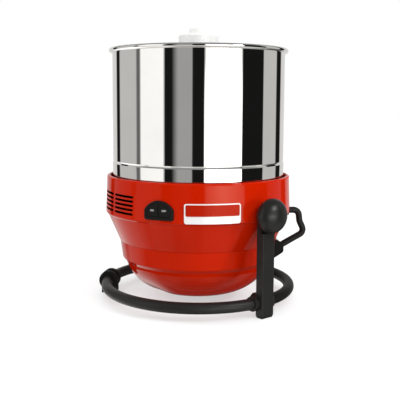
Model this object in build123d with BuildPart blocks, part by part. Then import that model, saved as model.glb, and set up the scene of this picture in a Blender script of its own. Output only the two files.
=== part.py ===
from build123d import *
import os
from math import sin, cos, radians, sqrt, hypot, pi

# Tilting table-top chocolate melanger. Millimetres, +Z up, origin on the floor
# under the drum axis. X is the tilt axis, -Y is the pouring side. Angles around
# the drum axis are counted from -Y towards +X.

# ---------------------------------------------------------------- driving dimensions
FEET = 3.0                 # the rubber feet lift everything else by this; all other heights are counted from there
PIVOT_Z = 126.0            # height of the tilt axis
# floor ring, posts and feet
RING_R, RING_Z = 124.9, 14.6
TUBE_R, TUBE_WALL = 7.2, 1.5
POST_IN, POST_OUT, POST_HALF, POST_Z = 125.6, 137.4, 10.1, -0.6
EYE_R, EYE_OUT, EYE_Z = 10.1, 132.6, 104.0  # thinner head of the post, behind the lock knob
SHOE_Z, SHOE_IN, SHOE_TOP = 5.8, 115.4, 27.5
COLLAR_R, COLLAR_HALF = 9.4, 16.5
FOOT_IN, FOOT_OUT, FOOT_HALF = 126.2, 136.8, 9.5
SLEEVE_R, SLEEVE_LEN, SLEEVE_THETA = 13.0, 20.0, 47.5
BUSH_R, BUSH_FLANGE_R, BUSH_IN = 7.0, 9.8, 124.7
# housing
RIM_Z, RIM_R, RIM_IN_R = 166.0, 122.3, 117.8
BAND_Z, BAND_R = 117.4, 124.2
CONE_Z, CONE_R = 115.2, 121.9
PART_Z = 79.0              # joint between the upper and the lower housing
DECK_Z = 148.0
BOWL_C, BOWL_ZC, BOWL_R, BOWL_T = 41.15, 67.9, 59.5, 3.0  # arc of the bowl's section: centre, radius, wall
SWING_R = PIVOT_Z + FEET - 0.3  # nothing of the bowl is further from the tilt axis, so that it clears the floor
VENT_THETA = (0.9, -19.3)
VENT_W, VENT_H, VENT_PITCH, VENT_Z = 39.9, 3.0, 5.33, 134.85
SWITCH_THETA, SWITCH_Z, SWITCH_N = 28.35, 132.9, 123.5
BADGE_THETA, BADGE_Z, BADGE_W, BADGE_H = 59.05, 130.1, 69.0, 24.2
HANDLE_THETA, HANDLE_R = 148.5, 4.4
GLAND_THETA, GLAND_Z, GLAND_BORE_R = 210.0, 67.0, 3.75
# drive
CHASSIS_Z, CHASSIS_T, CHASSIS_R = 112.0, 3.0, 101.5
STUD_R, STUD_END = 5.0, 151.0
SHAFT_R, THREAD_R = 7.0, 6.0
PULLEY_R, MOTOR_PULLEY_R, BELT_C = 48.0, 6.0, 60.0
BELT_Z, BELT_W, BELT_T = 131.0, 8.0, 2.0
MOTOR_R = 36.0
# drum and rollers
DRUM_Z, DRUM_TOP, DRUM_R, SHEET = 153.5, 331.0, 113.6, 1.3
GRANITE_TOP, GRANITE_R = 180.0, 111.6
STONE_R, STONE_IN, STONE_OUT = 33.7, 42.0, 88.0
AXLE_R, AXLE_Z = 6.0, 214.0
HUB_R, HUB_Z0, HUB_Z1 = 24.0, 188.0, 282.0
# knobs
KNOB_Z0, KNOB_Z1, KNOB_R, KNOB_TOP, KNOB_BOSS_R = 328.0, 350.2, 26.5, 357.7, 12.5
LOCK_A, LOCK_B, LOCK_X, LOCK_BACK = 21.5, 15.3, 141.6, 133.0
WASHER_X, WASHER_R = EYE_OUT + 0.35, 9.8

TIE_BOLTS = [(26.0, -8.0), (-26.0, -8.0), (0.0, -27.0)]
MOTOR_BOLTS = [(19.8, BELT_C - 19.8), (-19.8, BELT_C - 19.8), (19.8, BELT_C + 19.8), (-19.8, BELT_C + 19.8)]
BRACKET_BOLTS = [(94.0, 9.5), (94.0, -9.5), (-94.0, 9.5), (-94.0, -9.5)]

os.makedirs("parts", exist_ok=True)


def band_r(z):
    """Outer radius of the housing's upper band at a height."""
    return RIM_R + (RIM_Z - z) / (RIM_Z - BAND_Z) * (BAND_R - RIM_R)


# the three main planes at the top of the feet
XY = Plane.XY.offset(FEET)
XZ = Plane(origin=(0, 0, FEET), x_dir=(1, 0, 0), z_dir=(0, -1, 0))
YZ = Plane(origin=(0, 0, FEET), x_dir=(0, 1, 0), z_dir=(1, 0, 0))


def lower_r(z):
    """Outer radius of the lower housing's wall at a height."""
    return 102.6 + (z - 55.5) * 3.1 / 23.2


def bowl_z(r, radius):
    """Height of the bowl's arc, drawn with a radius, at a distance from the drum axis."""
    return BOWL_ZC - sqrt(radius ** 2 - (r - BOWL_C) ** 2)


def wall_plane(theta, r, z):
    """Plane that faces outwards at radius r; local z points out, local y up."""
    t = radians(theta)
    return Plane(origin=(r * sin(t), -r * cos(t), z + FEET), x_dir=(cos(t), sin(t), 0), z_dir=(sin(t), -cos(t), 0))


def radial_plane(theta):
    """Plane through the drum axis; local x is the radius, local y the height."""
    t = radians(theta)
    return Plane(origin=(0, 0, FEET), x_dir=(sin(t), -cos(t), 0), z_dir=(-cos(t), -sin(t), 0))


def turned_plane(angle):
    """The XZ plane turned about Z by an angle in radians."""
    return Plane(origin=(0, 0, FEET), x_dir=(cos(angle), sin(angle), 0), z_dir=(sin(angle), -cos(angle), 0))


def d_shape(half, bottom, shoulder, top):
    """Outline with a flat foot and an arched head."""
    Polyline((-half, shoulder), (-half, bottom), (half, bottom), (half, shoulder))
    ThreePointArc((half, shoulder), (0, top), (-half, shoulder))


SWITCH_OUT = Axis((0, 0, 0), (sin(radians(SWITCH_THETA)), -cos(radians(SWITCH_THETA)), 0))

# ================================================================ stand
for name, start in (("ring_tube_rear", 0.8), ("ring_tube_front", 180.8)):
    with BuildPart() as ring_tube:
        with BuildSketch(turned_plane(radians(start))):
            with Locations((RING_R, RING_Z)):
                Circle(TUBE_R)
                Circle(TUBE_R - TUBE_WALL, mode=Mode.SUBTRACT)
        revolve(axis=Axis.Z, revolution_arc=178.4)
    ring_tube.part.label = name
    export_step(ring_tube.part, f"parts/{name}.step")

for name, s in (("post_right", 1), ("post_left", -1)):
    with BuildPart() as post:
        # upright bar with a round eye about the tilt axis
        with BuildSketch(YZ.offset(POST_IN if s > 0 else -POST_OUT)):
            with Locations((0, (POST_Z + PIVOT_Z) / 2)):
                Rectangle(2 * POST_HALF, PIVOT_Z - POST_Z)
            with Locations((0, PIVOT_Z)):
                Circle(EYE_R)
        extrude(amount=POST_OUT - POST_IN)
        fillet(post.edges().filter_by(Axis.Z), 1.2)
        with BuildSketch(YZ.offset(EYE_OUT if s > 0 else -POST_OUT)):
            with Locations((0, EYE_Z + 30.0)):
                Rectangle(60.0, 60.0)
        extrude(amount=POST_OUT - EYE_OUT, mode=Mode.SUBTRACT)
        # shoe with a sloping gusset on its inner side
        with BuildSketch(XZ.offset(-POST_HALF)):
            Polygon((s * (POST_OUT - 1.2), SHOE_Z), (s * SHOE_IN, SHOE_Z), (s * SHOE_IN, 22.0), (s * 117.0, 23.5),
                    (s * POST_IN, SHOE_TOP), (s * (POST_OUT - 1.2), SHOE_TOP))
        extrude(amount=2 * POST_HALF)
        # collars on both flanks of the shoe, where the tubes plug in
        with BuildSketch(XZ.offset(-COLLAR_HALF)):
            with Locations((s * (RING_R - 0.5), RING_Z)):
                Circle(COLLAR_R)
            with Locations((s * RING_R, SHOE_Z - 10.0)):
                Rectangle(40.0, 20.0, mode=Mode.SUBTRACT)
        extrude(amount=2 * COLLAR_HALF)
        # webs between the shoe and its collars
        with BuildSketch(YZ.offset(119.5 if s > 0 else -129.5)):
            Polygon((-COLLAR_HALF + 1.5, 22.5), (COLLAR_HALF - 1.5, 22.5), (POST_HALF - 0.5, 27.0), (-POST_HALF + 0.5, 27.0))
        extrude(amount=10.0)
        # tube passage
        with BuildSketch(XZ):
            with Locations((s * RING_R, RING_Z)):
                Circle(TUBE_R + 0.02)
        revolve(axis=Axis.Z, revolution_arc=360, mode=Mode.SUBTRACT)
        # pivot bore
        with BuildSketch(YZ.offset(POST_IN - 5 if s > 0 else -POST_OUT - 5)):
            with Locations((0, PIVOT_Z)):
                Circle(BUSH_R + 0.02)
        extrude(amount=POST_OUT - POST_IN + 10, mode=Mode.SUBTRACT)
    post.part.label = name
    export_step(post.part, f"parts/{name}.step")

for name, s in (("post_foot_right", 1), ("post_foot_left", -1)):
    with BuildPart() as post_foot:
        with BuildSketch():
            with Locations((s * (FOOT_IN + FOOT_OUT) / 2, 0)):
                RectangleRounded(FOOT_OUT - FOOT_IN, 2 * FOOT_HALF, 1.2)
        extrude(amount=FEET + POST_Z)
        chamfer(post_foot.faces().sort_by(Axis.Z)[0].edges(), 0.5)
    post_foot.part.label = name
    export_step(post_foot.part, f"parts/{name}.step")

for name, theta in (("ring_sleeve_front", -SLEEVE_THETA), ("ring_sleeve_rear", 180 + SLEEVE_THETA)):
    arc = SLEEVE_LEN / RING_R * 180 / pi
    lip = 6.5 / RING_R * 180 / pi
    start = theta - arc / 2 - 90
    with BuildPart() as ring_sleeve:
        for shift, span, r, drop in ((0.0, arc, SLEEVE_R - 1.2, 0.6), (0.0, lip, SLEEVE_R, 0.0), (arc - lip, lip, SLEEVE_R, 0.0)):
            with BuildSketch(turned_plane(radians(start + shift))):
                with Locations((RING_R, RING_Z)):
                    Circle(r)
                with Locations((RING_R, (RING_Z + drop - FEET) / 2)):
                    Rectangle(2 * r - 7.0, RING_Z - drop + FEET)
            revolve(axis=Axis.Z, revolution_arc=span)
        with BuildSketch(XZ):
            with Locations((RING_R, RING_Z)):
                Circle(TUBE_R + 0.02)
        revolve(axis=Axis.Z, revolution_arc=360, mode=Mode.SUBTRACT)
    ring_sleeve.part.label = name
    export_step(ring_sleeve.part, f"parts/{name}.step")

with BuildPart() as pivot_bushes:
    for s in (1, -1):
        with BuildSketch(YZ.offset(BUSH_IN if s > 0 else -EYE_OUT)):
            with Locations((0, PIVOT_Z)):
                Circle(BUSH_R)
                Circle(STUD_R + 0.06, mode=Mode.SUBTRACT)
        extrude(amount=EYE_OUT - BUSH_IN)
        with BuildSketch(YZ.offset(BUSH_IN if s > 0 else -POST_IN)):
            with Locations((0, PIVOT_Z)):
                Circle(BUSH_FLANGE_R)
                Circle(STUD_R + 0.06, mode=Mode.SUBTRACT)
        extrude(amount=POST_IN - BUSH_IN)
pivot_bushes.part.label = "pivot_bushes"
export_step(pivot_bushes.part, "parts/pivot_bushes.step")

# ================================================================ housing
with BuildPart() as upper_housing:
    with BuildSketch(XZ) as upper_profile:
        Polygon((34.0, DECK_Z), (34.0, 152.2), (36.5, 152.2), (36.5, DECK_Z + 2.5), (RIM_IN_R, DECK_Z + 2.5), (RIM_IN_R, RIM_Z),
                (RIM_R, RIM_Z), (BAND_R, BAND_Z), (CONE_R, CONE_Z), (106.2, PART_Z), (103.0, PART_Z), (118.9, 115.6),
                (121.0, 119.5), (120.0, DECK_Z))
        fillet(upper_profile.vertices().sort_by_distance((RIM_IN_R, RIM_Z, 0))[0], 1.3)
        fillet(upper_profile.vertices().sort_by_distance((RIM_R, RIM_Z, 0))[0], 2.5)
        fillet(upper_profile.vertices().sort_by_distance((BAND_R, BAND_Z, 0))[0], 2.0)
        fillet(upper_profile.vertices().sort_by_distance((RIM_IN_R, DECK_Z + 2.5, 0))[0], 3.0)
    revolve(axis=Axis.Z)
    # screw posts that carry the chassis
    with BuildSketch(XY.offset(CHASSIS_Z + CHASSIS_T)):
        with PolarLocations(96.0, 4, 45):
            Circle(5.0)
    extrude(amount=DECK_Z + 0.5 - CHASSIS_Z - CHASSIS_T)
    with BuildSketch(XY.offset(CHASSIS_Z)):
        with PolarLocations(96.0, 4, 45):
            Circle(2.1)
    extrude(amount=20.0, mode=Mode.SUBTRACT)
    # ventilation slots
    for theta in VENT_THETA:
        with BuildSketch(wall_plane(theta, 112.0, VENT_Z)):
            with GridLocations(0, VENT_PITCH, 1, 5):
                SlotOverall(VENT_W, VENT_H)
        extrude(amount=20.0, mode=Mode.SUBTRACT)
    # switch opening
    with BuildSketch(wall_plane(SWITCH_THETA, 108.0, SWITCH_Z)) as switch_hole:
        with BuildLine():
            d_shape(19.15, -12.05, 0.5, 12.05)
        make_face()
        fillet(switch_hole.vertices().group_by(Axis.Y)[0], 3.1)
    extrude(amount=25.0, mode=Mode.SUBTRACT)
    # holes for the tilt studs
    for off in (110.0, -130.0):
        with BuildSketch(YZ.offset(off)):
            with Locations((0, PIVOT_Z)):
                Circle(STUD_R + 0.4)
        extrude(amount=20.0, mode=Mode.SUBTRACT)
    # hole for the top of the handle
    with BuildSketch(wall_plane(HANDLE_THETA, 108.0, 114.0)):
        Circle(HANDLE_R + 0.1)
    extrude(amount=20.0, mode=Mode.SUBTRACT)
upper_housing.part.label = "upper_housing"
export_step(upper_housing.part, "parts/upper_housing.step")

INNER_R = BOWL_R - BOWL_T
FLOOR_R = BOWL_C + sqrt(INNER_R ** 2 - (BOWL_ZC - 14.0) ** 2)
FLAT_Z = BOWL_ZC - BOWL_R
EDGE_R = 98.0              # where the facet under the wall meets the bowl

# the space inside the lower housing
with BuildPart() as lower_core:
    with BuildSketch(XZ):
        with BuildLine():
            Polyline((0, 85.0), (0, 14.0), (FLOOR_R, 14.0))
            ThreePointArc((FLOOR_R, 14.0), (82.0, bowl_z(82.0, INNER_R)), (95.0, bowl_z(95.0, INNER_R)))
            Polyline((95.0, bowl_z(95.0, INNER_R)), (99.5, 56.4), (101.9, 73.0), (100.2, 77.0), (100.2, 85.0), (0, 85.0))
        make_face()
    revolve(axis=Axis.Z)
    with BuildSketch(YZ.offset(-130.0)):
        with Locations((0, PIVOT_Z)):
            Circle(SWING_R - BOWL_T)
    extrude(amount=260.0, mode=Mode.INTERSECT)

with BuildPart() as lower_housing:
    with BuildSketch(XZ):
        with BuildLine():
            Polyline((BOWL_C, FLAT_Z), (0, FLAT_Z), (0, 84.0), (102.7, 84.0), (102.7, PART_Z - 0.3), (lower_r(PART_Z - 0.3), PART_Z - 0.3),
                     (lower_r(55.5), 55.5), (EDGE_R, bowl_z(EDGE_R, BOWL_R)))
            ThreePointArc((EDGE_R, bowl_z(EDGE_R, BOWL_R)), (80.0, bowl_z(80.0, BOWL_R)), (BOWL_C, FLAT_Z))
        make_face()
    revolve(axis=Axis.Z)
    # rounded about the tilt axis, in front and behind
    with BuildSketch(YZ.offset(-130.0)):
        with Locations((0, PIVOT_Z)):
            Circle(SWING_R)
    extrude(amount=260.0, mode=Mode.INTERSECT)
    fillet([e for e in lower_housing.edges()
            if all(abs(hypot((e @ u).Y, (e @ u).Z - FEET - PIVOT_Z) - SWING_R) < 0.02 for u in (0.1, 0.5, 0.9))], radius=60.0)
    fillet([e for e in lower_housing.edges() if all(abs((e @ u).Z - FEET - 55.5) < 0.01 for u in (0.1, 0.5))], radius=2.2)
    add(lower_core.part, mode=Mode.SUBTRACT)
    # seat of the bottom cover and the opening above it
    with BuildSketch(XY.offset(FLAT_Z - 1.0)):
        Circle(33.0)
    extrude(amount=11.5 - FLAT_Z + 1.0, mode=Mode.SUBTRACT)
    with BuildSketch(XY.offset(11.0)):
        Circle(20.0)
    extrude(amount=4.0, mode=Mode.SUBTRACT)
    # tie bolt holes
    with BuildSketch(XY.offset(10.0)):
        with Locations(*TIE_BOLTS):
            Circle(2.7)
    extrude(amount=6.0, mode=Mode.SUBTRACT)
    # cord gland hole and handle bracket holes
    with BuildSketch(wall_plane(GLAND_THETA, 90.0, GLAND_Z)):
        Circle(8.15)
    extrude(amount=30.0, mode=Mode.SUBTRACT)
    with BuildSketch(wall_plane(HANDLE_THETA, 90.0, 70.4)):
        with Locations((-5.5, 0), (5.5, 0)):
            Circle(2.1)
    extrude(amount=30.0, mode=Mode.SUBTRACT)
lower_housing.part.label = "lower_housing"
export_step(lower_housing.part, "parts/lower_housing.step")

with BuildPart() as bottom_cover:
    with BuildSketch(XY.offset(9.3)):
        Circle(32.7)
        with PolarLocations(11.0, 6):
            SlotOverall(11.0, 3.4, mode=Mode.SUBTRACT)
        with Locations(*TIE_BOLTS):
            Circle(2.7, mode=Mode.SUBTRACT)
    extrude(amount=2.2)
bottom_cover.part.label = "bottom_cover"
export_step(bottom_cover.part, "parts/bottom_cover.step")

with BuildPart() as tie_bolts:
    with BuildSketch(XY.offset(7.8)):
        with Locations(*TIE_BOLTS):
            Circle(4.5)
    extrude(amount=1.5)
    with BuildSketch(XY.offset(8.0)):
        with Locations(*TIE_BOLTS):
            Circle(2.5)
    extrude(amount=109.0)
    # cross recess in each head
    with BuildSketch(XY.offset(7.5)):
        with Locations(*TIE_BOLTS):
            Rectangle(4.8, 1.0)
            Rectangle(1.0, 4.8)
    extrude(amount=1.1, mode=Mode.SUBTRACT)
tie_bolts.part.label = "tie_bolts"
export_step(tie_bolts.part, "parts/tie_bolts.step")

with BuildPart() as switch_bezel:
    with BuildSketch(wall_plane(SWITCH_THETA, SWITCH_N - 7.0, SWITCH_Z)) as bezel_outline:
        with BuildLine():
            d_shape(19.0, -11.9, 0.5, 11.9)
        make_face()
        fillet(bezel_outline.vertices().group_by(Axis.Y)[0], 3.0)
    extrude(amount=9.9)
    fillet(switch_bezel.faces().sort_by(SWITCH_OUT)[-1].edges(), 1.4)
    with BuildSketch(wall_plane(SWITCH_THETA, SWITCH_N - 9.0, SWITCH_Z)):
        with BuildLine():
            d_shape(15.0, -7.9, -0.2, 8.7)
        make_face()
    extrude(amount=15.0, mode=Mode.SUBTRACT)
switch_bezel.part.label = "switch_bezel"
export_step(switch_bezel.part, "parts/switch_bezel.step")

for name, s in (("on_button", -1), ("off_button", 1)):
    with BuildPart() as button:
        with BuildSketch(wall_plane(SWITCH_THETA, SWITCH_N - 6.5, SWITCH_Z)):
            with BuildLine():
                d_shape(14.6, -7.5, -0.4, 8.3)
            make_face()
            with Locations((-s * 20.0 + s * 0.45, 0)):
                Rectangle(40.0, 40.0, mode=Mode.SUBTRACT)
        extrude(amount=9.7)
        fillet(button.faces().sort_by(SWITCH_OUT)[-1].edges(), 0.7)
    button.part.label = name
    export_step(button.part, f"parts/{name}.step")

with BuildPart() as switch_body:
    with BuildSketch(wall_plane(SWITCH_THETA, SWITCH_N - 22.0, SWITCH_Z)):
        RectangleRounded(36.0, 21.0, 1.5)
    extrude(amount=14.95)
    with BuildSketch(wall_plane(SWITCH_THETA, SWITCH_N - 10.5, SWITCH_Z)):
        with BuildLine():
            d_shape(15.3, -8.2, -0.2, 9.0)
        make_face()
    extrude(amount=6.0, mode=Mode.SUBTRACT)
    # four blade terminals at the back
    with BuildSketch(wall_plane(SWITCH_THETA, SWITCH_N - 28.0, SWITCH_Z)):
        with GridLocations(9.0, 8.0, 2, 2):
            Rectangle(6.3, 0.8)
    extrude(amount=6.5)
switch_body.part.label = "switch_body"
export_step(switch_body.part, "parts/switch_body.step")

for name, r0, r1, w, h, z, rc in (("badge_plate", 0.03, 1.3, BADGE_W, BADGE_H, BADGE_Z, 2.8),
                                  ("badge_panel", 1.32, 1.75, BADGE_W - 3.2, 13.6, BADGE_Z + BADGE_H / 2 - 1.4 - 6.8, 1.6)):
    lo, hi = z - h / 2 - 0.4, z + h / 2 + 0.4
    with BuildPart() as badge:
        with BuildSketch(XZ):
            Polygon((band_r(lo) + r0, lo), (band_r(lo) + r1, lo), (band_r(hi) + r1, hi), (band_r(hi) + r0, hi))
        revolve(axis=Axis.Z)
        with BuildSketch(wall_plane(BADGE_THETA, 90.0, z)):
            RectangleRounded(w, h, rc)
        extrude(amount=50.0, mode=Mode.INTERSECT)
    badge.part.label = name
    export_step(badge.part, f"parts/{name}.step")

# bent handle: level arm out of the band, cranked grip, sloping lower arm
HANDLE_PATH = [(115.0, 114.0), (141.2, 114.0), (142.9, 98.5), (150.2, 82.8), (111.0, 61.4)]
HANDLE_BENDS = [8.5, 13.0, 8.0]

with BuildPart() as handle_rod:
    with BuildLine(radial_plane(HANDLE_THETA)) as handle_line:
        FilletPolyline(*HANDLE_PATH, radius=HANDLE_BENDS)
    with BuildSketch(wall_plane(HANDLE_THETA, HANDLE_PATH[0][0], HANDLE_PATH[0][1])):
        Circle(HANDLE_R)
    sweep(path=handle_line.line)
    # collar against the housing
    with BuildSketch(wall_plane(HANDLE_THETA, 124.4, 114.0)):
        Circle(7.0)
    extrude(amount=2.2)
handle_rod.part.label = "handle_rod"
export_step(handle_rod.part, "parts/handle_rod.step")

with BuildPart() as handle_bracket:
    with BuildSketch(radial_plane(HANDLE_THETA).offset(-9.0)):
        Polygon((98.0, 74.6), (107.4, 74.6), (117.4, 68.4), (118.8, 66.4), (118.8, 57.6), (117.4, 55.4), (106.6, 48.6), (98.0, 48.6))
    extrude(amount=18.0)
    # seat that follows the housing wall
    with BuildSketch(XZ):
        Polygon((0, 45.0), (lower_r(45.0) + 0.03, 45.0), (lower_r(85.0) + 0.03, 85.0), (0, 85.0))
    revolve(axis=Axis.Z, mode=Mode.SUBTRACT)
    # socket for the handle
    with BuildLine(radial_plane(HANDLE_THETA)) as socket_line:
        Line(HANDLE_PATH[3], HANDLE_PATH[4])
    with BuildSketch(Plane(origin=socket_line.line @ 1, z_dir=socket_line.line % 1)):
        Circle(HANDLE_R + 0.02)
    extrude(amount=-40.0, mode=Mode.SUBTRACT)
    # screw holes
    with BuildSketch(wall_plane(HANDLE_THETA, 95.0, 70.4)):
        with Locations((-5.5, 0), (5.5, 0)):
            Circle(2.1)
    extrude(amount=20.0, mode=Mode.SUBTRACT)
    with BuildSketch(wall_plane(HANDLE_THETA, 109.6, 70.4)):
        with Locations((-5.5, 0), (5.5, 0)):
            Circle(3.4)
    extrude(amount=15.0, mode=Mode.SUBTRACT)
handle_bracket.part.label = "handle_bracket"
export_step(handle_bracket.part, "parts/handle_bracket.step")

with BuildPart() as handle_screws:
    with BuildSketch(wall_plane(HANDLE_THETA, 98.0, 70.4)):
        with Locations((-5.5, 0), (5.5, 0)):
            Circle(2.0)
    extrude(amount=12.0)
    with BuildSketch(wall_plane(HANDLE_THETA, 109.62, 70.4)):
        with Locations((-5.5, 0), (5.5, 0)):
            Circle(3.2)
    extrude(amount=2.2)
handle_screws.part.label = "handle_screws"
export_step(handle_screws.part, "parts/handle_screws.step")

with BuildPart() as cord_gland:
    with BuildSketch(radial_plane(GLAND_THETA)):
        Polygon((94.0, GLAND_Z + GLAND_BORE_R), (94.0, GLAND_Z + 8.0), (105.8, GLAND_Z + 8.0), (105.8, GLAND_Z + 11.0), (108.4, GLAND_Z + 11.0),
                (109.4, GLAND_Z + 9.2), (119.0, GLAND_Z + 7.2), (120.0, GLAND_Z + 6.2), (120.0, GLAND_Z + GLAND_BORE_R))
    revolve(axis=Axis((0, 0, GLAND_Z + FEET), (sin(radians(GLAND_THETA)), -cos(radians(GLAND_THETA)), 0)))
cord_gland.part.label = "cord_gland"
export_step(cord_gland.part, "parts/cord_gland.step")

# ================================================================ chassis and drive
with BuildPart() as chassis_plate:
    with BuildSketch(XY.offset(CHASSIS_Z)):
        Circle(CHASSIS_R)
        Circle(8.05, mode=Mode.SUBTRACT)
        with PolarLocations(96.0, 4, 45):
            Circle(2.1, mode=Mode.SUBTRACT)
        with Locations(*MOTOR_BOLTS):
            Circle(2.1, mode=Mode.SUBTRACT)
        with Locations(*BRACKET_BOLTS):
            Circle(2.5, mode=Mode.SUBTRACT)
        with Locations(*TIE_BOLTS):
            Circle(2.55, mode=Mode.SUBTRACT)
        with Locations((0, BELT_C)):
            Circle(9.0, mode=Mode.SUBTRACT)
        # cooling openings
        with Locations((-38.0, -66.0), (0.0, -74.0), (38.0, -66.0)):
            SlotOverall(26.0, 9.0, mode=Mode.SUBTRACT)
    extrude(amount=CHASSIS_T)
chassis_plate.part.label = "chassis_plate"
export_step(chassis_plate.part, "parts/chassis_plate.step")

with BuildPart() as pivot_brackets:
    for s in (1, -1):
        with BuildSketch(XZ.offset(-16.0)):
            Polygon((s * 86.0, 115.0), (s * 114.0, 115.0), (s * 114.0, 142.0), (s * 110.0, 142.0), (s * 110.0, 118.0), (s * 86.0, 118.0))
        extrude(amount=32.0)
        with BuildSketch(YZ.offset(105.0 if s > 0 else -119.0)):
            with Locations((0, PIVOT_Z)):
                Circle(STUD_R + 0.05)
        extrude(amount=14.0, mode=Mode.SUBTRACT)
    with BuildSketch(XY.offset(114.0)):
        with Locations(*BRACKET_BOLTS):
            Circle(2.5)
    extrude(amount=5.0, mode=Mode.SUBTRACT)
pivot_brackets.part.label = "pivot_brackets"
export_step(pivot_brackets.part, "parts/pivot_brackets.step")

with BuildPart() as pivot_studs:
    for s in (1, -1):
        with BuildSketch(XZ):
            Polygon((s * 103.0, PIVOT_Z), (s * 103.0, PIVOT_Z + STUD_R), (s * 114.05, PIVOT_Z + STUD_R), (s * 114.05, PIVOT_Z + 9.0),
                    (s * 119.3, PIVOT_Z + 9.0), (s * 119.3, PIVOT_Z + STUD_R), (s * (STUD_END - 1.2), PIVOT_Z + STUD_R),
                    (s * STUD_END, PIVOT_Z + STUD_R - 1.2), (s * STUD_END, PIVOT_Z))
        revolve(axis=Axis((0, 0, PIVOT_Z + FEET), (1, 0, 0)))
pivot_studs.part.label = "pivot_studs"
export_step(pivot_studs.part, "parts/pivot_studs.step")

with BuildPart() as pivot_nuts:
    for off in (104.05, -109.95):
        with BuildSketch(YZ.offset(off)):
            with Locations((0, PIVOT_Z)):
                RegularPolygon(7.8, 6)
                Circle(STUD_R + 0.05, mode=Mode.SUBTRACT)
        extrude(amount=5.9)
pivot_nuts.part.label = "pivot_nuts"
export_step(pivot_nuts.part, "parts/pivot_nuts.step")

with BuildPart() as chassis_screws:
    # into the housing posts, from below
    with BuildSketch(XY.offset(CHASSIS_Z - 3.2)):
        with PolarLocations(96.0, 4, 45):
            Circle(4.0)
    extrude(amount=3.2)
    with BuildSketch(XY.offset(CHASSIS_Z - 1.0)):
        with PolarLocations(96.0, 4, 45):
            Circle(2.0)
    extrude(amount=18.0)
    # pivot bracket screws, from above
    with BuildSketch(XY.offset(118.0)):
        with Locations(*BRACKET_BOLTS):
            Circle(4.2)
    extrude(amount=3.0)
    with BuildSketch(XY.offset(110.0)):
        with Locations(*BRACKET_BOLTS):
            Circle(2.4)
    extrude(amount=9.0)
    # motor screws, from above
    with BuildSketch(XY.offset(CHASSIS_Z + CHASSIS_T)):
        with Locations(*MOTOR_BOLTS):
            Circle(3.5)
    extrude(amount=2.8)
    with BuildSketch(XY.offset(106.0)):
        with Locations(*MOTOR_BOLTS):
            Circle(2.0)
    extrude(amount=10.0)
chassis_screws.part.label = "chassis_screws"
export_step(chassis_screws.part, "parts/chassis_screws.step")

with BuildPart() as center_shaft:
    with BuildSketch(XZ):
        Polygon((0, 98.0), (7.0, 98.0), (8.0, 99.0), (8.0, 115.0), (20.0, 115.0), (20.0, 118.0), (11.0, 118.0), (11.0, 122.0), (7.5, 122.0),
                (7.5, 141.0), (SHAFT_R, 141.0), (SHAFT_R, 321.6), (THREAD_R, 321.6), (THREAD_R, 352.2), (THREAD_R - 0.8, 353.0), (0, 353.0))
    revolve(axis=Axis.Z)
    # two flats that keep the roller assembly from turning
    with BuildSketch(XY.offset(250.0)):
        with Locations((0, 5.6 + 5.0), (0, -5.6 - 5.0)):
            Rectangle(20.0, 10.0)
    extrude(amount=66.0, mode=Mode.SUBTRACT)
center_shaft.part.label = "center_shaft"
export_step(center_shaft.part, "parts/center_shaft.step")

with BuildPart() as shaft_nut:
    with BuildSketch(XY.offset(101.0)):
        RegularPolygon(13.9, 6)
        Circle(8.05, mode=Mode.SUBTRACT)
    extrude(amount=11.0)
shaft_nut.part.label = "shaft_nut"
export_step(shaft_nut.part, "parts/shaft_nut.step")

BEARINGS = (122.0, 131.5)
with BuildPart() as bearing_inner_rings:
    for z in BEARINGS:
        with BuildSketch(XY.offset(z)):
            Circle(9.8)
            Circle(7.52, mode=Mode.SUBTRACT)
        extrude(amount=8.9)
bearing_inner_rings.part.label = "bearing_inner_rings"
export_step(bearing_inner_rings.part, "parts/bearing_inner_rings.step")

with BuildPart() as bearing_outer_rings:
    for z in BEARINGS:
        with BuildSketch(XY.offset(z)):
            Circle(15.98)
            Circle(13.2, mode=Mode.SUBTRACT)
        extrude(amount=8.9)
bearing_outer_rings.part.label = "bearing_outer_rings"
export_step(bearing_outer_rings.part, "parts/bearing_outer_rings.step")

with BuildPart() as bearing_balls:
    for z in BEARINGS:
        with Locations((0, 0, z + 4.45 + FEET)):
            with PolarLocations(11.5, 8):
                Sphere(1.38)
bearing_balls.part.label = "bearing_balls"
export_step(bearing_balls.part, "parts/bearing_balls.step")

with BuildPart() as drive_pulley:
    with BuildSketch(XZ):
        Polygon((16.0, 121.8), (20.0, 121.8), (20.0, 129.0), (44.0, 129.0), (44.0, 124.0), (52.0, 124.0), (52.0, 125.5), (PULLEY_R, 125.5),
                (PULLEY_R, 136.5), (52.0, 136.5), (52.0, 138.0), (44.0, 138.0), (44.0, 133.0), (20.0, 133.0), (20.0, 141.0), (16.0, 141.0))
    revolve(axis=Axis.Z)
    # lightening holes in the web and three drive pins
    with BuildSketch(XY.offset(127.0)):
        with PolarLocations(34.5, 6, 30):
            Circle(5.0)
    extrude(amount=8.0, mode=Mode.SUBTRACT)
    with BuildSketch(XY.offset(132.0)):
        with PolarLocations(25.0, 3):
            Circle(3.0)
    extrude(amount=17.5)
drive_pulley.part.label = "drive_pulley"
export_step(drive_pulley.part, "parts/drive_pulley.step")

with BuildPart() as drive_belt:
    with BuildSketch(XY.offset(BELT_Z - BELT_W / 2)):
        Circle(PULLEY_R + 0.3 + BELT_T)
        with Locations((0, BELT_C)):
            Circle(MOTOR_PULLEY_R + 0.3 + BELT_T)
        make_hull()
    extrude(amount=BELT_W)
    with BuildSketch(XY.offset(BELT_Z - BELT_W / 2)):
        Circle(PULLEY_R + 0.3)
        with Locations((0, BELT_C)):
            Circle(MOTOR_PULLEY_R + 0.3)
        make_hull()
    extrude(amount=BELT_W, mode=Mode.SUBTRACT)
drive_belt.part.label = "drive_belt"
export_step(drive_belt.part, "parts/drive_belt.step")

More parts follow.
